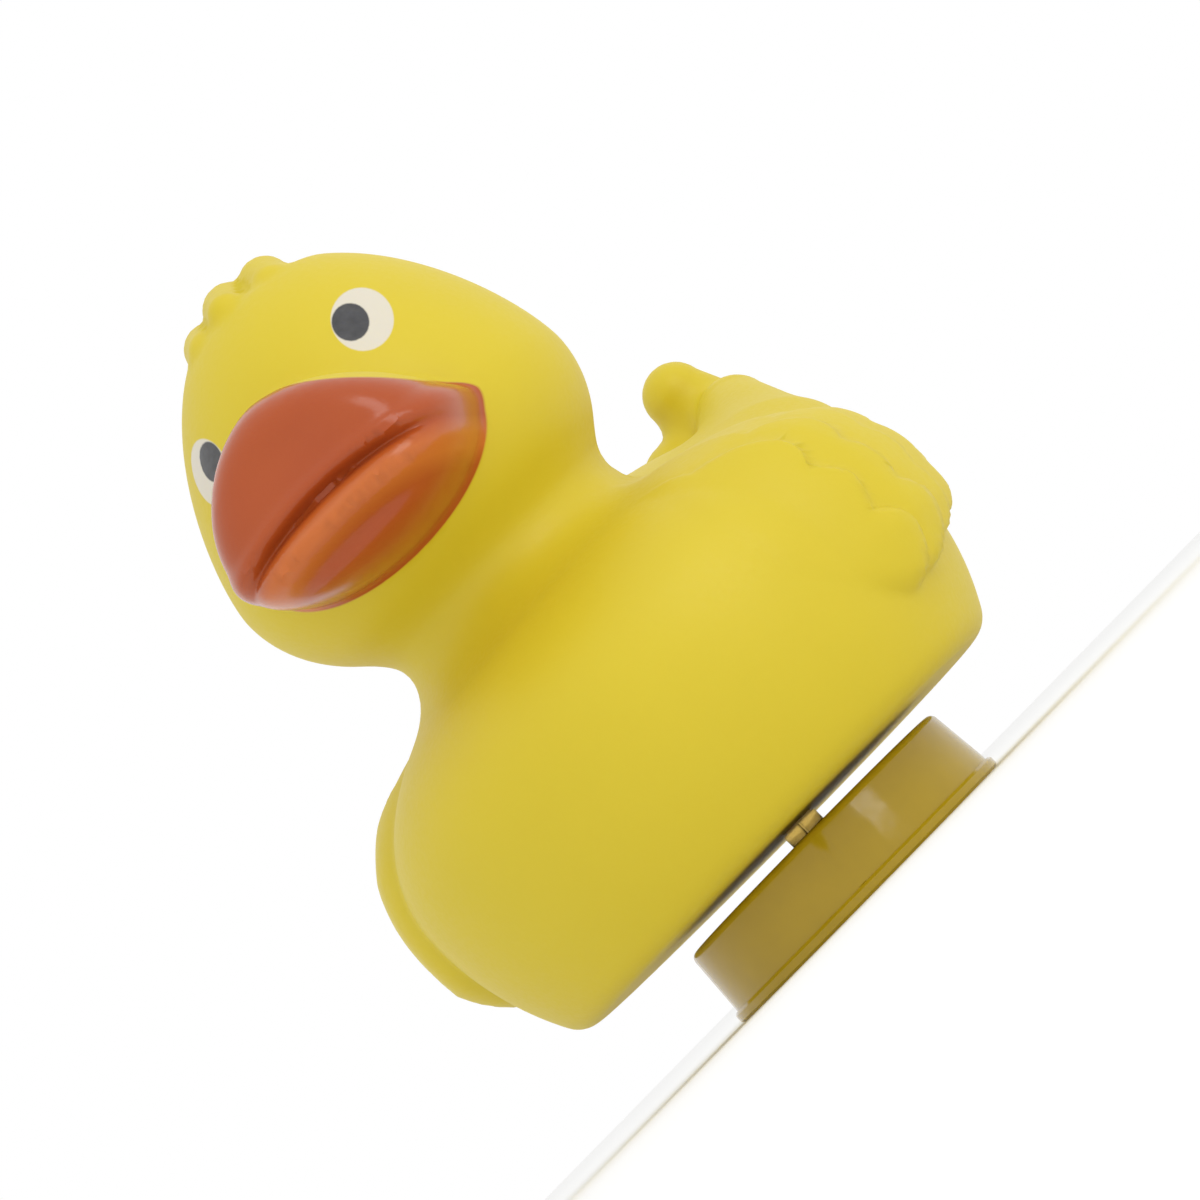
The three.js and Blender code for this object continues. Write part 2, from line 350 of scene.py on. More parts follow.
@dataclass(frozen=True)
class Wings:
    """Both folded wings: shingled feather rows that stand a few millimetres proud of the body."""

    rows: tuple[FeatherRow, ...] = (
        FeatherRow(((-14.5, 52.0, 4.6), (-10.5, 44.5, 5.0), (-10.5, 35.0, 5.4), (-7.5, 25.5, 5.6))),
        FeatherRow(((-6.0, 52.0, 4.6), (-3.0, 44.0, 4.8), (-3.0, 35.5, 5.0), (-0.5, 27.0, 5.2))),
        FeatherRow(((1.5, 51.5, 4.4), (4.8, 43.8, 4.6), (5.2, 36.0, 4.8), (5.5, 28.5, 4.6))),
        FeatherRow(((9.0, 50.5, 4.4), (12.6, 43.6, 4.6), (12.8, 36.2, 4.6), (11.5, 29.8, 4.2))),
        FeatherRow(((16.8, 49.5, 4.4), (20.4, 43.0, 4.6), (20.4, 36.2, 4.4), (17.5, 31.0, 3.6))),
        FeatherRow(((23.5, 48.0, 3.6), (26.5, 42.6, 4.0), (25.5, 36.8, 3.8))),
    )
    outline: Swell = Swell((0.0, 2.0, 37.6), (10.0, 27.0, 19.6))
    thick_at: tuple[float, ...] = (-26.0, -20.0, -14.0, -8.0, 0.0, 8.0, 16.0, 24.0)
    thickness: tuple[float, ...] = (0.0, 1.9, 3.2, 3.4, 3.1, 2.8, 2.6, 2.0)
    full_at: tuple[float, ...] = (18.5, 22.0, 28.0, 45.0, 50.0, 54.0, 57.5)
    fullness: tuple[float, ...] = (-0.6, 0.45, 1.0, 1.0, 0.75, 0.3, -0.5)
    middle_z: float = 36.0
    bow: float = 0.0072  # how the front border curves away from the middle height
    left_share: float = 0.9
    right_share: float = 1.3
    left_start: float = 7.0
    right_start: float = -3.0
    lift: float = 1.15  # how far a feather's tip stands above the next row
    most_lift: float = 1.1  # the share of the lift at which it ends, behind the tips
    feather_length: float = 8.5
    inner_x: float = 12.0
    feather_edge: float = 0.7
    feather_fillet: float = 0.25
    inner_edge: float = 3.0
    outline_edge: float = 2.5
    blank_inset: float = 5.0
    blank_place: tuple[float, float] = (2.0, 36.8)
    blank_radii: Place = (8.5, 25.0, 16.0)

    def distance(self, points: Points, body: Values) -> Values:
        """Measures to both wings.

        Args:
            points: where to measure.
            body: the distances to the body at the same points.

        Returns:
            The distances.
        """
        x, y, z = points
        left = x > 0.0
        start = np.where(left, self.left_start, self.right_start)
        behind = y - self.bow * (z - self.middle_z) ** 2 - start
        share = np.where(left, self.left_share, self.right_share)
        share = share * np.interp(z, self.full_at, self.fullness)
        thick = np.interp(behind, self.thick_at, self.thickness) * share
        wing = None
        for row in self.rows:
            along = (y - row.middle() + self.feather_length) / self.feather_length
            proud = body - thick - self.lift * np.clip(along, 0.0, self.most_lift)
            layer = trim(proud, row.outline(y, z), self.feather_edge)
            wing = layer if wing is None else join(wing, layer, self.feather_fillet)
        wing = trim(wing, self.inner_x - np.abs(x), self.inner_edge)
        flat = np.stack([np.zeros_like(y), y, z])
        return trim(wing, self.outline.distance(flat), self.outline_edge)

    def add_blanks(self, half_width: float) -> None:
        """Adds a flattened blank on each flank.

        Args:
            half_width: the body's half width.
        """
        for side in (-1.0, 1.0):
            aside = side * (half_width - self.blank_inset)
            Swell((aside, *self.blank_place), self.blank_radii).add_blank()


@dataclass(frozen=True)
class Bill:
    """The broad painted bill, in the head's own directions: aside, forward and up."""

    half_width: float = 17.3
    middle_up: float = -1.6
    above: float = 15.6
    below: float = 9.1
    root_crown: float = 1.3  # how full the upper bill's section is where it leaves the face
    front_crown: float = 1.9  # and how full it is at the front
    lean: float = 0.08  # how far the upper bill leans to the duck's right
    corner_up: float = 5.0  # how high the rounded corner of the mouth reaches
    corner_blend: float = 0.12
    root: float = 18.0
    length: float = 21.0
    bluntness: float = 4.0
    mouth_half_width: float = 17.4
    mouth_up: float = -1.3
    mouth_sag: float = 2.9
    crease_drop: float = 6.0
    crease_rise: float = 2.8  # how much nearer the mouth the crease comes at its ends
    roll_drop: float = 0.4  # how far the rolled lip's crest lies below the middle of its band
    dip: Place = (6.0, 3.4, 8.0)  # the shallow dip above the mouth: up, half height, half width
    upper_lip: Place = (1.5, 1.2, 0.7)  # rise above the mouth, half height, how far it stands out
    groove: tuple[float, float] = (0.7, -1.7)  # these three: half height, how far it stands out
    roll: tuple[float, float] = (1.8, 1.9)
    crease: tuple[float, float] = (1.2, -0.9)
    start: float = 14.0  # how far forward the bill begins, and how its shares become lengths
    paint_start: float = 12.0
    overspray: float = 0.5
    # half the height of the lip band that is painted lighter as a painted highlight
    lip_highlight_half_height: float = 1.7
    blank_rise: float = 1.5
    blank_inset: float = 1.0

    def mouth_line(self, aside: Values) -> Values:
        """Gives the mouth line's height at places across the bill, lowest at the corners."""
        return self.mouth_up - self.mouth_sag * (aside / self.mouth_half_width) ** 2

    def section(self, aside: Values, up: Values, crown: Values | float, margin: float) -> Values:
        """Measures how far out across the bill's section a place lies.

        Args:
            aside: places across the bill.
            up: heights above the head's middle.
            crown: how full the upper bill is.
            margin: how far outside the bill the section's edge lies.

        Returns:
            The share of the way to the edge: 1 on it.
        """
        rise = up - self.middle_up
        width = self.half_width + margin
        leant = np.abs(aside + self.lean * np.maximum(rise, 0.0)) / width
        upper = (leant**crown + (np.abs(rise) / (self.above + margin)) ** crown + TINY) ** (1.0 / crown)
        lower = np.sqrt(leant**2 + (rise / (self.below + margin)) ** 2 + TINY)
        corner = np.sqrt(leant**2 + (rise / self.corner_up) ** 2 + TINY)
        return join(np.where(rise > 0.0, upper, lower), corner, self.corner_blend)

    def distance(self, aside: Values, forward: Values, up: Values) -> Values:
        """Measures to the bill with its mouth groove, rolled lip and crease.

        Args:
            aside: places across the head.
            forward: places towards the face.
            up: heights above the head's middle.

        Returns:
            The distances, nearly exact close to the surface.
        """
        ahead = np.clip((forward - self.root) / self.length, 0.0, 1.0)
        crown = self.root_crown + (self.front_crown - self.root_crown) * ahead
        section = self.section(aside, up, crown, 0.0)
        across = np.abs(aside) / self.mouth_half_width
        fade = np.clip(1.0 - across**4, 0.0, 1.0)
        mouth = self.mouth_line(aside)
        crease = mouth - self.crease_drop + self.crease_rise * across**2
        roll = (mouth + crease) / 2 - self.roll_drop
        dip_up, dip_half_height, dip_half_width = self.dip
        dip = np.exp(-(((up - dip_up) / dip_half_height) ** 2) - (aside / dip_half_width) ** 2)
        reach = self.length - dip
        lip_rise, *upper_lip = self.upper_lip
        for place, width, amount in (
            (mouth + lip_rise, *upper_lip),
            (mouth, *self.groove),
            (roll, *self.roll),
            (crease, *self.crease),
        ):
            reach = reach + fade * amount * np.exp(-(((up - place) / width) ** 2))
        past = np.maximum(forward - self.root, 0.0) / reach
        size = (section**self.bluntness + past**self.bluntness + TINY) ** (1.0 / self.bluntness)
        return np.maximum((size - 1.0) * self.start, self.start - forward)

    def roll_highlight_edge(self, aside: Values, up: Values) -> Values:
        """Measures to the edge of the rolled lower lip's band, which is painted lighter as a painted
        highlight; negative on the band.
        """
        middle = self.mouth_line(aside) - self.crease_drop / 2
        return np.abs(up - middle) - self.lip_highlight_half_height

    def paint_edge(self, aside: Values, forward: Values, up: Values) -> Values:
        """Measures to the edge of the bill's paint, a little outside the bill: negative on it."""
        section = self.section(aside, up, self.root_crown, self.overspray)
        return np.maximum((section - 1.0) * self.paint_start, self.paint_start - forward)


@dataclass(frozen=True)
class Head:
    """The egg-shaped head, turned a little to the duck's left, on its short neck."""

    middle_y: float = -8.7
    middle_z: float = 77.0
    turn: float = math.radians(17.0)
    roll: float = 0.05  # how far the head leans to the duck's left
    radius: float = 26.4
    above: float = 32.6
    below: float = 19.8
    point: float = 1.5
    crown: float = 29.6
    lean: float = 0.03
    least_slope: float = 0.012
    neck_radius: float = 17.4
    neck_back: float = 2.2
    neck_z: float = 57.0
    neck_reach: float = 9.0
    cut_edge: float = 2.0  # how round the flattened crown's and the neck's ends are
    bill: Bill = Bill()
    white: Place = (13.3, 17.1, 14.5)  # aside, forward and up
    white_radius: float = 3.75
    pupil: Place = (12.05, 17.35, 15.2)
    pupil_radius: float = 2.25
    print_line: Place = (0.186, 0.955, -0.232)  # the direction from which the eyes are round
    print_depth: float = 8.0
    curls: tuple[tuple[Place, Place, float, float], ...] = (
        ((-6.8, 0.0, 29.4), (-5.4, 6.8, 27.8), 3.5, 2.6),
        ((-1.4, 0.6, 31.0), (-0.4, 7.6, 29.0), 3.6, 2.7),
        ((4.0, -0.4, 30.4), (5.6, 5.2, 28.2), 3.6, 2.7),
        ((-9.4, -2.0, 26.8), (-10.2, 2.8, 25.0), 2.8, 2.2),
        ((7.2, -4.4, 27.8), (8.8, -0.8, 25.8), 2.9, 2.2),
        ((-3.8, -5.6, 29.2), (-5.6, -9.2, 26.2), 3.3, 2.4),
        ((2.2, -5.8, 29.4), (3.8, -9.6, 26.2), 3.3, 2.4),
    )

    def inside(self, points: Points) -> tuple[Values, Values, Values]:
        """Gives the points in the head's own directions.

        Args:
            points: where to measure.

        Returns:
            How far aside, forward and up each point is.
        """
        cosine, sine = math.cos(self.turn), math.sin(self.turn)
        x, y, z = points[0], points[1] - self.middle_y, points[2] - self.middle_z
        aside, forward = cosine * x + sine * y, sine * x - cosine * y
        upright, tilt = math.cos(self.roll), math.sin(self.roll)
        return upright * aside - tilt * z, forward, upright * z + tilt * aside

    def outside(self, aside: float, forward: float, up: float) -> Place:
        """Turns a place in the head's own directions into the duck's.

        Args:
            aside: place across the head.
            forward: place towards the face.
            up: height above the head's middle.

        Returns:
            The place.
        """
        upright, tilt = math.cos(self.roll), math.sin(self.roll)
        aside, up = upright * aside + tilt * up, upright * up - tilt * aside
        cosine, sine = math.cos(self.turn), math.sin(self.turn)
        x = cosine * aside + sine * forward
        y = self.middle_y + sine * aside - cosine * forward
        return x, y, self.middle_z + up

    def tuft(self) -> list[Taper]:
        """Gives the tuft's curls in the duck's directions."""
        return [
            Taper(self.outside(*foot), self.outside(*tip), foot_radius, tip_radius)
            for foot, tip, foot_radius, tip_radius in self.curls
        ]

    def egg(self, points: Points) -> Values:
        """Measures to the egg with its flattened crown.

        Args:
            points: where to measure.

        Returns:
            The distances.
        """
        aside, forward, up = self.inside(points)
        forward = forward + self.lean * np.maximum(up, 0.0)
        height = np.where(up > 0.0, self.above, self.below)
        power = np.where(up > 0.0, self.point, 2.0)
        around = (aside**2 + forward**2) / self.radius**2
        rise = np.abs(up) / height
        size = np.sqrt(around + rise**power) + TINY
        slope_around = np.sqrt(around) / self.radius / size
        slope_up = (power / 2.0) * rise ** (power - 1.0) / height / size
        slope = np.maximum(np.hypot(slope_around, slope_up), self.least_slope)
        return trim((size - 1.0) / slope, up - self.crown, self.cut_edge)

    def neck(self, points: Points) -> Values:
        """Measures to the neck, an upright round rod.

        Args:
            points: where to measure.

        Returns:
            The distances.
        """
        around = np.hypot(points[0], points[1] - self.middle_y - self.neck_back)
        past_end = np.abs(points[2] - self.neck_z) - self.neck_reach
        return trim(around - self.neck_radius, past_end, self.cut_edge)

    def eye_edges(self, points: Points) -> tuple[Values, Values]:
        """Measures to the edges of the eyes' white and of the pupils.

        Args:
            points: where to measure.

        Returns:
            The distances to each, negative on the paint.
        """
        aside, forward, up = self.inside(points)
        edges = []
        for centre, radius in ((self.white, self.white_radius), (self.pupil, self.pupil_radius)):
            off = [here - there for here, there in zip((np.abs(aside), forward, up), centre)]
            deep = sum(part * line for part, line in zip(off, self.print_line))
            flat = [part - deep * line for part, line in zip(off, self.print_line)]
            edge = np.sqrt(sum(part**2 for part in flat)) - radius
            edges.append(np.maximum(edge, np.abs(deep) - self.print_depth))
        return edges[0], edges[1]

    def add_blanks(self) -> None:
        """Adds the blanks of the egg, the neck, the bill and each curl."""
        rise = (self.above - self.below) / 2
        half = (self.above + self.below) / 2
        middle = (0.0, self.middle_y, self.middle_z + rise)
        Swell(middle, (self.radius, self.radius, half)).add_blank()
        neck_y = self.middle_y + self.neck_back
        low, high = self.neck_z - self.neck_reach, self.neck_z + self.neck_reach
        Taper((0.0, neck_y, low), (0.0, neck_y, high), self.neck_radius, self.neck_radius).add_blank()
        bill = self.bill
        place = self.outside(0.0, bill.root, bill.middle_up + bill.blank_rise)
        half_height = (bill.above + bill.below) / 2 - bill.blank_inset / 2
        radii = (bill.half_width - bill.blank_inset, bill.length, half_height)
        Swell(place, radii, turn=self.turn).add_blank()
        for curl in self.tuft():
            curl.add_blank()


@dataclass(frozen=True)
class DuckForm:
    """The whole duck as one blended surface."""

    base: float
    base_edge: float = 2.2
    tail_fillet: float = 3.2
    wing_fillet: float = 0.6
    head_fillet: float = 4.0
    neck_fillet: float = 7.0
    curl_fillet: float = 0.5
    tuft_fillet: float = 1.3
    bill_fillet: float = 1.0
    torso: Torso = Torso()
    wings: Wings = Wings()
    head: Head = Head()

    def body(self, points: Points) -> Values:
        """Measures to the torso and the tail's tip."""
        tip = self.torso.tail_tip.distance(points)
        return join(self.torso.distance(points), tip, self.tail_fillet)

    def with_head(self, body: Values, points: Points) -> Values:
        """Adds the plain head to a body, and cuts both flat at the base.

        Args:
            body: the distances to the body.
            points: where they were measured.

        Returns:
            The distances.
        """
        head = join(self.head.egg(points), self.head.neck(points), self.head_fillet)
        both = join(body, head, self.neck_fillet)
        return trim(both, self.base - points[2], self.base_edge)

    def bare(self, points: Points) -> Values:
        """Measures to the duck without its wings, tuft and bill, as the hollow follows it."""
        return self.with_head(self.body(points), points)

    def distance(self, points: Points) -> Values:
        """Measures to the finished duck.

        Args:
            points: where to measure.

        Returns:
            The distances.
        """
        body = self.body(points)
        body = join(body, self.wings.distance(points, body), self.wing_fillet)
        whole = self.with_head(body, points)
        tuft = None
        for curl in self.head.tuft():
            lobe = curl.distance(points)
            tuft = lobe if tuft is None else join(tuft, lobe, self.curl_fillet)
        whole = join(whole, tuft, self.tuft_fillet)
        bill = self.head.bill.distance(*self.head.inside(points))
        return join(whole, bill, self.bill_fillet)


# --- Sculpting a fused blank to its form ---


@dataclass(frozen=True)
class Sculptor:
    """Moves a mesh's vertices onto a form's surface and spaces them evenly."""

    form: Form
    level: float = 0.0
    probe: float = 0.02
    longest_move: float = 0.8
    last_passes: int = 3
    least_grip: float = 0.05
    slide: float = 0.5  # how much of the way to its neighbours' middle a point slides

    def slope(self, points: Points) -> Points:
        """Finds the form's gradient.

        Args:
            points: where to measure.

        Returns:
            The gradient at each point.
        """
        rows = []
        for axis in range(3):
            ahead, behind = points.copy(), points.copy()
            ahead[axis] += self.probe
            behind[axis] -= self.probe
            rows.append((self.form(ahead) - self.form(behind)) / (2.0 * self.probe))
        return np.stack(rows)

    def press(self, points: Points, passes: int) -> tuple[Points, Points]:
        """Presses points onto the surface.

        Args:
            points: where they are.
            passes: how many steps to take, at least one.

        Returns:
            The pressed points and the gradient before the last step.
        """
        for _ in range(passes):
            slope = self.slope(points)
            grip = np.maximum((slope**2).sum(0), self.least_grip)
            move = slope * (self.form(points) - self.level) / grip
            length = np.maximum(np.sqrt((move**2).sum(0)), TINY)
            points = points - move * np.minimum(1.0, self.longest_move / length)
        return points, slope

    def even_out(self, points: Points, slope: Points, edges: np.ndarray) -> Points:
        """Slides each point along the surface towards the middle of its neighbours.

        Args:
            points: where they are.
            slope: the gradient at each point.
            edges: the two ends of each edge.

        Returns:
            The moved points.
        """
        ends = np.concatenate([edges, edges[:, ::-1]])
        count = np.bincount(ends[:, 0], minlength=points.shape[1])
        sums = [
            np.bincount(ends[:, 0], row[ends[:, 1]], minlength=points.shape[1]) for row in points
        ]
        move = np.stack(sums) / np.maximum(count, 1) - points
        normal = slope / np.maximum(np.sqrt((slope**2).sum(0)), TINY)
        return points + self.slide * (move - normal * (move * normal).sum(0))

    def sculpt(self, piece: bpy.types.Object, rounds: int, reach: int) -> None:
        """Presses a piece's mesh onto the form.

        Args:
            piece: the fused blank.
            rounds: how often the vertices are spaced out.
            reach: how many steps the first press takes.
        """
        mesh = piece.data
        edges = np.empty(len(mesh.edges) * 2, np.int64)
        mesh.edges.foreach_get("vertices", edges)
        edges = edges.reshape(-1, 2)
        points, slope = self.press(read_places(mesh.vertices, "co"), reach)
        for _ in range(rounds):
            points = self.even_out(points, slope, edges)
            points, slope = self.press(points, 1)
        points, _ = self.press(points, self.last_passes)
        mesh.vertices.foreach_set("co", (points.T * MM).ravel())
        mesh.update()


# --- Finishes ---


@dataclass(frozen=True)
class Coat:
    """A colour, linear, and how rough its surface is."""

    colour: Colour
    roughness: float


class NodePen:
    """Adds and links a material's nodes."""

    def __init__(self, name: str) -> None:
        """Starts a material.

        Args:
            name: the material's name.
        """
        self.material = bpy.data.materials.new(name)
        self.material.use_nodes = True
        self.nodes = self.material.node_tree.nodes
        self.links = self.material.node_tree.links
        self.shader = self.nodes["Principled BSDF"]

    def link(self, start: bpy.types.NodeSocket, end: bpy.types.NodeSocket) -> None:
        """Links two sockets."""
        self.links.new(start, end)

    def ramp(
        self, value: bpy.types.NodeSocket, start: float, end: float, low: float = 0.0, high: float = 1.0
    ) -> bpy.types.NodeSocket:
        """Turns a value into a straight ramp that is level past both ends.

        Args:
            value: the value.
            start: where the ramp starts.
            end: where it ends.
            low: its level at the start.
            high: its level at the end.

        Returns:
            The ramp's socket.
        """
        node = self.nodes.new("ShaderNodeMapRange")
        ends = (("From Min", start), ("From Max", end), ("To Min", low), ("To Max", high))
        for name, number in ends:
            node.inputs[name].default_value = number
        self.link(value, node.inputs["Value"])
        return node.outputs["Result"]

    def mask(self, attribute: str, softness: float) -> bpy.types.NodeSocket:
        """Makes a mask that is 1 where an attribute is negative.

        Args:
            attribute: a distance kept on the mesh, in millimetres.
            softness: half the width of the mask's edge, in millimetres.

        Returns:
            The mask's socket.
        """
        read = self.nodes.new("ShaderNodeAttribute")
        read.attribute_name = attribute
        return self.ramp(read.outputs["Fac"], softness, -softness)

    def above(self, height: float, softness: float) -> bpy.types.NodeSocket:
        """Makes a mask that is 1 above a height on the piece.

        Args:
            height: the height, in millimetres.
            softness: half the height of the mask's edge, in millimetres.

        Returns:
            The mask's socket.
        """
        place = self.nodes.new("ShaderNodeTexCoord")
        parts = self.nodes.new("ShaderNodeSeparateXYZ")
        self.link(place.outputs["Object"], parts.inputs["Vector"])
        return self.ramp(parts.outputs["Z"], (height - softness) * MM, (height + softness) * MM)

    def noise(self, scale: float, detail: float) -> bpy.types.NodeSocket:
        """Makes noise on the piece's own coordinates.

        Args:
            scale: how fine it is, in lumps to the metre.
            detail: how many finer layers it has.

        Returns:
            The noise's socket, about 0.5 on average.
        """
        place = self.nodes.new("ShaderNodeTexCoord")
        texture = self.nodes.new("ShaderNodeTexNoise")
        texture.inputs["Scale"].default_value = scale
        texture.inputs["Detail"].default_value = detail
        self.link(place.outputs["Object"], texture.inputs["Vector"])
        return texture.outputs["Fac"]

    def between(self, noise: bpy.types.NodeSocket, low: float, high: float) -> bpy.types.NodeSocket:
        """Spreads noise evenly between two values."""
        return self.ramp(noise, *NOISE_RANGE, low, high)

    def mix(
        self,
        share: bpy.types.NodeSocket,
        under: bpy.types.NodeSocket | Colour,
        over: bpy.types.NodeSocket | Colour,
    ) -> bpy.types.NodeSocket:
        """Mixes two colours.

        Args:
            share: how much of the upper colour shows.
            under: the lower colour.
            over: the upper colour.

        Returns:
            The mixed colour's socket.
        """
        blend = self.nodes.new("ShaderNodeMix")
        blend.data_type = "RGBA"
        self.link(share, blend.inputs[0])
        for socket, colour in ((blend.inputs[6], under), (blend.inputs[7], over)):
            if isinstance(colour, tuple):
                socket.default_value = (*colour, 1.0)
            else:
                self.link(colour, socket)
        return blend.outputs[2]

    def mix_value(
        self, share: bpy.types.NodeSocket, under: bpy.types.NodeSocket | float, over: float
    ) -> bpy.types.NodeSocket:
        """Mixes two plain values.

        Args:
            share: how much of the upper value shows.
            under: the lower value.
            over: the upper value.

        Returns:
            The mixed value's socket.
        """
        blend = self.nodes.new("ShaderNodeMix")
        self.link(share, blend.inputs[0])
        blend.inputs[3].default_value = over
        if isinstance(under, float):
            blend.inputs[2].default_value = under
        else:
            self.link(under, blend.inputs[2])
        return blend.outputs[0]

    def bump(self, height: bpy.types.NodeSocket, depth: float) -> None:
        """Roughens the surface.

        Args:
            height: the pattern.
            depth: how deep it is, in metres.
        """
        node = self.nodes.new("ShaderNodeBump")
        node.inputs["Strength"].default_value = 1.0
        node.inputs["Distance"].default_value = depth
        self.link(height, node.inputs["Height"])
        self.link(node.outputs["Normal"], self.shader.inputs["Normal"])


@dataclass(frozen=True)
class PaintedVinyl:
    """Satin yellow vinyl with sprayed bill paint and printed eyes, a lighter orange painted on the
    rolled lip as a painted highlight, and a lighter grey mottled on the pupils as a painted sheen.
    """

    vinyl: Coat = Coat((0.65, 0.51, 0.02), 0.5)
    vinyl_deep: Colour = (0.61, 0.475, 0.016)
    bill: Coat = Coat((0.37, 0.06, 0.012), 0.21)
    bill_thin: Colour = (0.43, 0.085, 0.014)
    # a lighter orange painted on the rolled lip band as a painted highlight, where the lip catches the
    # light
    lip: Colour = (0.54, 0.135, 0.024)
    white: Coat = Coat((0.66, 0.61, 0.5), 0.4)
    pupil: Coat = Coat((0.03, 0.03, 0.031), 0.25)
    # a lighter grey mottled over the pupils as a painted sheen, where the glossy pupils reflect the
    # light
    pupil_painted_sheen: Colour = (0.075, 0.075, 0.08)
    edge: float = 0.09
    lip_highlight_softness: float = 0.9
    cloud: tuple[float, float] = (45.0, 2.0)  # each noise: lumps to the metre, finer layers
    grain: tuple[float, float] = (1400.0, 3.0)
    # the mottle of the pupils' painted sheen
    pupil_sheen_mottle: tuple[float, float] = (900.0, 2.0)
    grain_depth: float = 0.00002
    roughness_spread: float = 0.04
    specular: float = 0.36
    glow: float = 0.12  # how much of the light scatters inside the vinyl
    glow_radius: Colour = (1.0, 0.7, 0.2)
    glow_scale: float = 0.0015  # in metres, as the depths of the bumps are

    def make(self) -> bpy.types.Material:
        """Builds the material.

        Returns:
            The material, which reads the mesh's paint distances.
        """
        pen = NodePen("painted_yellow_vinyl")
        names = ("bill_edge", "white_edge", "pupil_edge")
        bill, white, pupil = (pen.mask(name, self.edge) for name in names)
        cloud = pen.noise(*self.cloud)
        grain = pen.noise(*self.grain)
        colour = pen.mix(cloud, self.vinyl.colour, self.vinyl_deep)
        paint = pen.mix(cloud, self.bill.colour, self.bill_thin)
        # the rolled lip band gets the lighter orange: a painted highlight
        paint = pen.mix(pen.mask("lip_highlight_edge", self.lip_highlight_softness), paint, self.lip)
        colour = pen.mix(bill, colour, paint)
        colour = pen.mix(white, colour, self.white.colour)
        # the pupils are mottled with a lighter grey: a painted sheen
        pupil_with_painted_sheen = pen.mix(pen.noise(*self.pupil_sheen_mottle), self.pupil.colour, self.pupil_painted_sheen)
        colour = pen.mix(pupil, colour, pupil_with_painted_sheen)
        pen.link(colour, pen.shader.inputs["Base Color"])
        middle, spread = self.vinyl.roughness, self.roughness_spread
        rough = pen.between(grain, middle - spread, middle + spread)
        for mask, coat in ((bill, self.bill), (white, self.white), (pupil, self.pupil)):
            rough = pen.mix_value(mask, rough, coat.roughness)
        pen.link(rough, pen.shader.inputs["Roughness"])
        pen.shader.inputs["Specular IOR Level"].default_value = self.specular
        pen.shader.inputs["Subsurface Weight"].default_value = self.glow
        pen.shader.inputs["Subsurface Radius"].default_value = self.glow_radius
        pen.shader.inputs["Subsurface Scale"].default_value = self.glow_scale
        pen.bump(grain, self.grain_depth)
        return pen.material


@dataclass(frozen=True)
class AmberVinyl:
    """The foot's glossy amber vinyl, slightly wavy, whose thin stem lets light through and is painted a
    brighter orange as painted light.
    """

    thick: Coat = Coat((0.42, 0.285, 0.006), 0.12)
    thin: Colour = (0.5, 0.345, 0.012)
    # the stem's brighter orange is painted light: it stands in for light passing through the stem,
    # which is the disc's own vinyl
    stem: Colour = (0.86, 0.58, 0.14)
    stem_clearness: float = 0.85
    stem_from: float = 10.6  # the height where the disc's top gives way to the stem
    stem_softness: float = 0.1
    wave: tuple[float, float] = (140.0, 2.0)  # each noise: lumps to the metre, finer layers
    grain: tuple[float, float] = (1100.0, 2.0)
    wave_depth: float = 0.00012
    roughness_spread: tuple[float, float] = (0.04, 0.07)  # below and above the coat's
    specular: float = 0.42

    def make(self) -> bpy.types.Material:
        """Builds the material.

        Returns:
            The material.
        """
        pen = NodePen("clear_amber_vinyl")
        wave = pen.noise(*self.wave)
        disc = pen.mix(wave, self.thick.colour, self.thin)
        stem = pen.above(self.stem_from, self.stem_softness)
        # above the disc the stem gets its brighter orange, painted light
        pen.link(pen.mix(stem, disc, self.stem), pen.shader.inputs["Base Color"])
        clear = pen.mix_value(stem, 0.0, self.stem_clearness)
        pen.link(clear, pen.shader.inputs["Transmission Weight"])
        middle, (below, above) = self.thick.roughness, self.roughness_spread
        rough = pen.between(pen.noise(*self.grain), middle - below, middle + above)
        pen.link(rough, pen.shader.inputs["Roughness"])
        pen.shader.inputs["Specular IOR Level"].default_value = self.specular
        pen.bump(wave, self.wave_depth)
        return pen.material


@dataclass(frozen=True)
class PaleSweep:
    """The plain matt surface the duck stands on."""

    coat: Coat = Coat((0.9, 0.9, 0.89), 0.9)
    cloud: tuple[float, float] = (12.0, 2.0)  # lumps to the metre, finer layers
    dimming: float = 0.985

    def make(self) -> bpy.types.Material:
        """Builds the material.

        Returns:
            The material.
        """
        pen = NodePen("pale_sweep")
        dimmer = tuple(self.dimming * part for part in self.coat.colour)
        colour = pen.mix(pen.noise(*self.cloud), self.coat.colour, dimmer)
        pen.link(colour, pen.shader.inputs["Base Color"])
        pen.shader.inputs["Roughness"].default_value = self.coat.roughness
        return pen.material


# --- Pieces ---


def fuse(pieces: list[bpy.types.Object], name: str, voxel: float) -> bpy.types.Object:
    """Joins overlapping blanks and fuses them into one even mesh.

    Args:
        pieces: the blanks.
        name: the fused piece's name.
        voxel: the mesh's spacing.

    Returns:
        The fused piece, with its place in its mesh.
    """
    take(*pieces)
    bpy.ops.object.join()
    fused = bpy.context.object
    fused.name = fused.data.name = name
    bpy.ops.object.transform_apply(location=True, rotation=True, scale=True)
    remesh = fused.modifiers.new("fuse", "REMESH")
    remesh.mode = "VOXEL"
    remesh.voxel_size = voxel * MM
    bpy.ops.object.modifier_apply(modifier=remesh.name)
    return fused


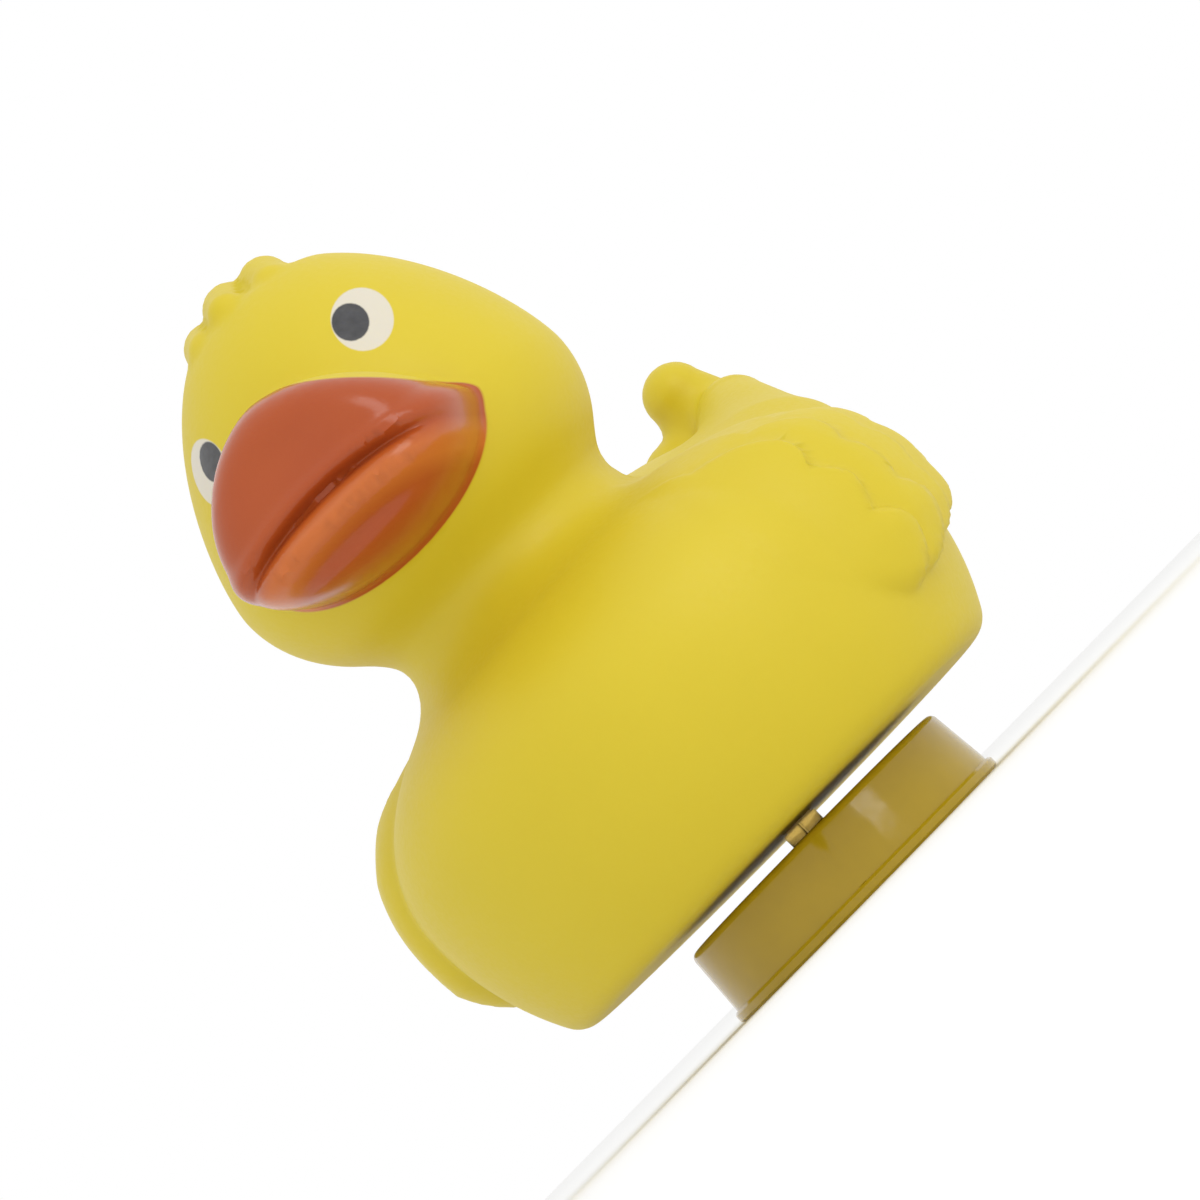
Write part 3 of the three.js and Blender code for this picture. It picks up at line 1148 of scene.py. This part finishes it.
@dataclass
class DuckSkin:
    """The blown vinyl skin: outer form, inner wall and the hole that takes the foot's plug."""

    form: DuckForm
    finish: PaintedVinyl = field(default_factory=PaintedVinyl)
    spacing: float = 0.9
    inner_spacing: float = 2.4
    wall: float = 2.0
    hole_radius: float = 2.45
    hole_sides: int = 48
    drill_depth: float = 6.0
    mouth_reaches: tuple[float, ...] = (9.0, 2.4)
    crisp_angle: float = math.radians(55.0)

    def blanks(self) -> list[bpy.types.Object]:
        """Adds every blank.

        Returns:
            The new blank objects.
        """
        deselect()
        known = set(bpy.data.objects)
        self.form.torso.add_blanks(self.form.base)
        self.form.wings.add_blanks(self.form.torso.half_width)
        self.form.head.add_blanks()
        return [piece for piece in bpy.data.objects if piece not in known]

    def refine(self, piece: bpy.types.Object, reach: float) -> None:
        """Divides the faces round the mouth once more.

        Args:
            piece: the fused blank.
            reach: how far above and below the mouth line the faces are divided.
        """
        mesh = piece.data
        aside, forward, up = self.form.head.inside(read_places(mesh.polygons, "center"))
        bill = self.form.head.bill
        fine = (forward > bill.root) & (np.abs(up - bill.mouth_line(aside)) < reach)
        mesh.polygons.foreach_set("select", fine)
        bpy.context.view_layer.objects.active = piece
        bpy.ops.object.mode_set(mode="EDIT")
        bpy.ops.mesh.select_mode(type="FACE")
        bpy.ops.mesh.subdivide(number_cuts=1)
        bpy.ops.object.mode_set(mode="OBJECT")

    def outer(self) -> bpy.types.Object:
        """Models the outer form.

        Returns:
            The outer form as a closed solid.
        """
        sculptor = Sculptor(self.form.distance)
        piece = fuse(self.blanks(), "duck_skin", self.spacing)
        sculptor.sculpt(piece, rounds=2, reach=8)
        for reach in self.mouth_reaches:
            self.refine(piece, reach)
            sculptor.sculpt(piece, rounds=2, reach=1)
        return piece

    def inner(self) -> bpy.types.Object:
        """Models the hollow, a wall's thickness inside the bare form.

        Returns:
            The hollow, as a closed mesh whose faces look into it.
        """
        piece = fuse(self.blanks(), "duck_hollow", self.inner_spacing)
        Sculptor(self.form.bare, level=-self.wall, longest_move=2.0).sculpt(piece, rounds=4, reach=8)
        bpy.ops.object.mode_set(mode="EDIT")
        bpy.ops.mesh.select_all(action="SELECT")
        bpy.ops.mesh.flip_normals()
        bpy.ops.object.mode_set(mode="OBJECT")
        return piece

    def pierce(self, piece: bpy.types.Object) -> None:
        """Cuts the plug's hole through the base.

        Args:
            piece: the hollow skin.
        """
        deselect()
        bpy.ops.mesh.primitive_cylinder_add(
            vertices=self.hole_sides,
            radius=self.hole_radius * MM,
            depth=self.drill_depth * MM,
            location=(0.0, 0.0, self.form.base * MM),
        )
        drill = bpy.context.object
        cut = piece.modifiers.new("hole", "BOOLEAN")
        cut.operation = "DIFFERENCE"
        cut.object = drill
        cut.solver = "MANIFOLD"
        bpy.context.view_layer.objects.active = piece
        bpy.ops.object.modifier_apply(modifier=cut.name)
        bpy.data.objects.remove(drill)

    def mark_paint(self, piece: bpy.types.Object) -> None:
        """Keeps the distance to each paint's edge on the mesh.

        Args:
            piece: the finished skin.
        """
        mesh = piece.data
        points = read_places(mesh.vertices, "co")
        head = self.form.head
        white, pupil = head.eye_edges(points)
        aside, forward, up = head.inside(points)
        edges = {
            "bill_edge": head.bill.paint_edge(aside, forward, up),
            # the distance to the lip band that is painted lighter as a painted highlight
            "lip_highlight_edge": head.bill.roll_highlight_edge(aside, up),
            "white_edge": white,
            "pupil_edge": pupil,
        }
        for name, values in edges.items():
            kept = mesh.attributes.new(name, "FLOAT", "POINT")
            kept.data.foreach_set("value", values.astype(np.float32))

    def build(self) -> bpy.types.Object:
        """Models and dresses the skin.

        Returns:
            The finished piece.
        """
        skin = self.outer()
        hollow = self.inner()
        take(skin, hollow)
        bpy.ops.object.join()
        self.pierce(skin)
        take(skin)
        bpy.ops.object.shade_smooth_by_angle(angle=self.crisp_angle)
        self.mark_paint(skin)
        skin.data.materials.clear()
        skin.data.materials.append(self.finish.make())
        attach(skin, "root")
        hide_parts(Part.SKIN.value)
        return skin


@dataclass
class Foot:
    """The moulded foot: a flared disc with a lip, a thin stem and the plug that holds the duck."""

    base: float
    top: float
    finish: AmberVinyl = field(default_factory=AmberVinyl)
    sides: int = 240
    lip_radius: float = 22.6
    lip_height: float = 1.6
    root_radius: float = 22.0
    shoulder_radius: float = 21.4
    height: float = 10.4
    edge: float = 1.0
    stem_radius: float = 2.65
    gap: float = 0.3
    neck_radius: float = 2.15
    plug_radius: float = 4.2
    plug_height: float = 3.4
    soft: float = 0.35  # the bevel of the lip
    root_step: float = 0.1
    edge_steps: int = 6
    stem_root: tuple[tuple[float, float], ...] = ((0.5, 0.0), (0.1, 0.15), (0.0, 0.5))  # out, up
    plug_nose: tuple[tuple[float, float], ...] = ((0.55, 0.25), (0.42, 0.0))  # radius share, down
    seam: float = 0.14
    seam_turn: float = math.radians(28.0)
    seam_start: float = 0.05
    seam_stem_gaps: tuple[float, float] = (0.4, 0.1)  # from the disc's top and the stem's shoulder
    crisp_angle: float = math.radians(35.0)

    def profile(self) -> list[tuple[float, float]]:
        """Lists the rings that the outline grows through.

        Returns:
            Each ring's radius and height, from the floor up.
        """
        rings = [
            (self.lip_radius, self.soft),
            (self.lip_radius, self.lip_height - self.soft),
            (self.lip_radius - self.soft, self.lip_height),
            (self.root_radius, self.lip_height),
            (self.root_radius, self.lip_height + self.root_step),
            (self.shoulder_radius, self.height - self.edge),
        ]
        for step in range(1, self.edge_steps + 1):
            angle = math.pi / 2 * step / self.edge_steps
            out = self.shoulder_radius - self.edge * (1.0 - math.cos(angle))
            rings.append((out, self.height - self.edge * (1.0 - math.sin(angle))))
        shoulder = self.base - self.gap
        plug = self.top - self.plug_height
        rings += [(self.stem_radius + out, self.height + up) for out, up in self.stem_root]
        rings += [
            (self.stem_radius, shoulder),
            (self.neck_radius, shoulder),
            (self.neck_radius, plug),
            (self.plug_radius, plug),
            (self.plug_radius, plug + self.plug_height / 3),
        ]
        return rings + [(self.plug_radius * share, self.top - down) for share, down in self.plug_nose]

    def turn_up(self) -> bpy.types.Object:
        """Extrudes a disc through the profile's rings.

        Returns:
            The foot as a closed solid.
        """
        deselect()
        radius = self.lip_radius - self.soft
        bpy.ops.mesh.primitive_circle_add(vertices=self.sides, radius=radius * MM, fill_type="NGON")
        piece = bpy.context.object
        piece.name = piece.data.name = "foot"
        bpy.ops.object.mode_set(mode="EDIT")
        bpy.ops.mesh.select_mode(type="FACE")
        bpy.ops.mesh.select_all(action="SELECT")
        height = 0.0
        for out, up in self.profile():
            bpy.ops.mesh.extrude_region_move(
                TRANSFORM_OT_translate={"value": (0.0, 0.0, (up - height) * MM)}
            )
            bpy.ops.transform.resize(
                value=(out / radius, out / radius, 1.0), center_override=(0.0, 0.0, up * MM)
            )
            radius, height = out, up
        bpy.ops.mesh.select_all(action="SELECT")
        bpy.ops.mesh.normals_make_consistent(inside=False)
        bpy.ops.object.mode_set(mode="OBJECT")
        return piece

    def raise_seams(self, piece: bpy.types.Object) -> None:
        """Raises the mould's fine parting line on both sides of the disc and the stem.

        Args:
            piece: the foot.
        """
        line = Vector((math.sin(self.seam_turn), -math.cos(self.seam_turn)))
        half_step = math.pi / self.sides
        above_disc, below_shoulder = self.seam_stem_gaps
        stem_start = self.height + above_disc
        stem_end = self.base - self.gap - below_shoulder
        for vertex in piece.data.vertices:
            flat = Vector(vertex.co[:2])
            if flat.length < TINY:
                continue
            off = min(flat.angle(line), flat.angle(-line))
            height = vertex.co.z / MM
            on_disc = self.lip_height + self.seam_start < height < self.height - self.edge
            if off < half_step and (on_disc or stem_start < height < stem_end):
                vertex.co.xy += flat.normalized() * self.seam * MM

    def build(self) -> bpy.types.Object:
        """Models and dresses the foot.

        Returns:
            The finished piece.
        """
        foot = self.turn_up()
        self.raise_seams(foot)
        take(foot)
        bpy.ops.object.shade_smooth_by_angle(angle=self.crisp_angle)
        foot.data.materials.append(self.finish.make())
        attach(foot, "root")
        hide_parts(Part.FOOT.value)
        return foot


# --- Studio ---


@dataclass
class Studio:
    """The pale floor, the soft light and the camera."""

    view_turn: float = math.radians(28.0)
    distance: float = 401.0
    eye_height: float = 2.5
    aim_up: float = math.radians(6.755)
    aim_aside: float = 0.00625
    roll: float = math.radians(-45.55)
    lens: float = 96.0
    sensor: float = 36.0
    nearest_seen: float = 0.01  # from here on in metres, up to the key's place
    floor_radius: float = 6.0
    floor_depth: float = 0.01
    floor_sides: int = 128
    air: float = 1.0
    key_power: float = 1.6
    key_size: tuple[float, float] = (0.24, 0.7)
    key_place: Place = (0.45, -0.52, 0.43)  # the key's place in metres: camera's right, away, up
    key_aim_up: float = 60.0

    def toward(self) -> Vector:
        """Gives the level direction from the camera to the duck."""
        return Vector((-math.sin(self.view_turn), math.cos(self.view_turn), 0.0))

    def aside(self) -> Vector:
        """Gives the level direction to the camera's right."""
        return Vector((math.cos(self.view_turn), math.sin(self.view_turn), 0.0))

    def add_floor(self) -> bpy.types.Object:
        """Adds the floor, a wide disc with a thin turned-down rim.

        Returns:
            The floor.
        """
        deselect()
        bpy.ops.mesh.primitive_circle_add(
            vertices=self.floor_sides, radius=self.floor_radius, fill_type="NGON"
        )
        floor = bpy.context.object
        floor.name = floor.data.name = "floor"
        bpy.ops.object.mode_set(mode="EDIT")
        bpy.ops.mesh.select_all(action="SELECT")
        bpy.ops.mesh.extrude_region_move(
            TRANSFORM_OT_translate={"value": (0.0, 0.0, -self.floor_depth)}
        )
        bpy.ops.mesh.select_all(action="SELECT")
        bpy.ops.mesh.normals_make_consistent(inside=False)
        bpy.ops.object.mode_set(mode="OBJECT")
        floor.data.materials.append(PaleSweep().make())
        return floor

    def add_light(self) -> None:
        """Adds the even air and the large soft key."""
        world = bpy.data.worlds.new("studio_air")
        world.use_nodes = True
        air = world.node_tree.nodes["Background"]
        air.inputs["Color"].default_value = (1.0, 1.0, 1.0, 1.0)
        air.inputs["Strength"].default_value = self.air
        bpy.context.scene.world = world
        light = bpy.data.lights.new("soft_key", "AREA")
        light.energy = self.key_power
        light.shape = "RECTANGLE"
        light.size, light.size_y = self.key_size
        key = bpy.data.objects.new("soft_key", light)
        bpy.context.scene.collection.objects.link(key)
        right, near, up = self.key_place
        key.location = self.aside() * right + self.toward() * near + Vector((0.0, 0.0, up))
        key.rotation_mode = "QUATERNION"
        aim = Vector((0.0, 0.0, self.key_aim_up * MM)) - key.location
        key.rotation_quaternion = aim.to_track_quat("-Z", "Y")

    def add_camera(self) -> None:
        """Adds the low, tilted camera in front of the duck's left breast."""
        scene = bpy.context.scene
        camera = bpy.data.cameras.new("camera")
        camera.lens = self.lens
        camera.sensor_width = self.sensor
        camera.clip_start = self.nearest_seen
        holder = bpy.data.objects.new("camera", camera)
        scene.collection.objects.link(holder)
        holder.location = self.toward() * (-self.distance * MM)
        holder.location.z = self.eye_height * MM
        level = (self.toward() + self.aside() * self.aim_aside).normalized()
        look = level * math.cos(self.aim_up) + Vector((0.0, 0.0, math.sin(self.aim_up)))
        holder.rotation_mode = "QUATERNION"
        tilt = Quaternion((0.0, 0.0, 1.0), self.roll)
        holder.rotation_quaternion = look.to_track_quat("-Z", "Y") @ tilt
        scene.camera = holder
        scene.view_settings.view_transform = "Standard"

    def build(self) -> None:
        """Sets up the studio."""
        self.add_floor()
        self.add_light()
        self.add_camera()


def triangles(piece: bpy.types.Object) -> int:
    """Counts a piece's triangles."""
    return sum(len(face.vertices) - 2 for face in piece.data.polygons)


def main() -> None:
    """Builds the duck, its foot and the studio in order, from the skin's base and the foot's top in
    their boxes.
    """
    logging.basicConfig(level=logging.INFO, format="%(name)s: %(message)s")
    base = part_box(Part.SKIN.value)[0].z / MM
    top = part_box(Part.FOOT.value)[1].z / MM
    skin = DuckSkin(DuckForm(base)).build()
    log.info("%s: %d triangles", skin.name, triangles(skin))
    foot = Foot(base, top).build()
    log.info("%s: %d triangles", foot.name, triangles(foot))
    Studio().build()
    log.info("studio ready")


if __name__ == "__main__":
    main()
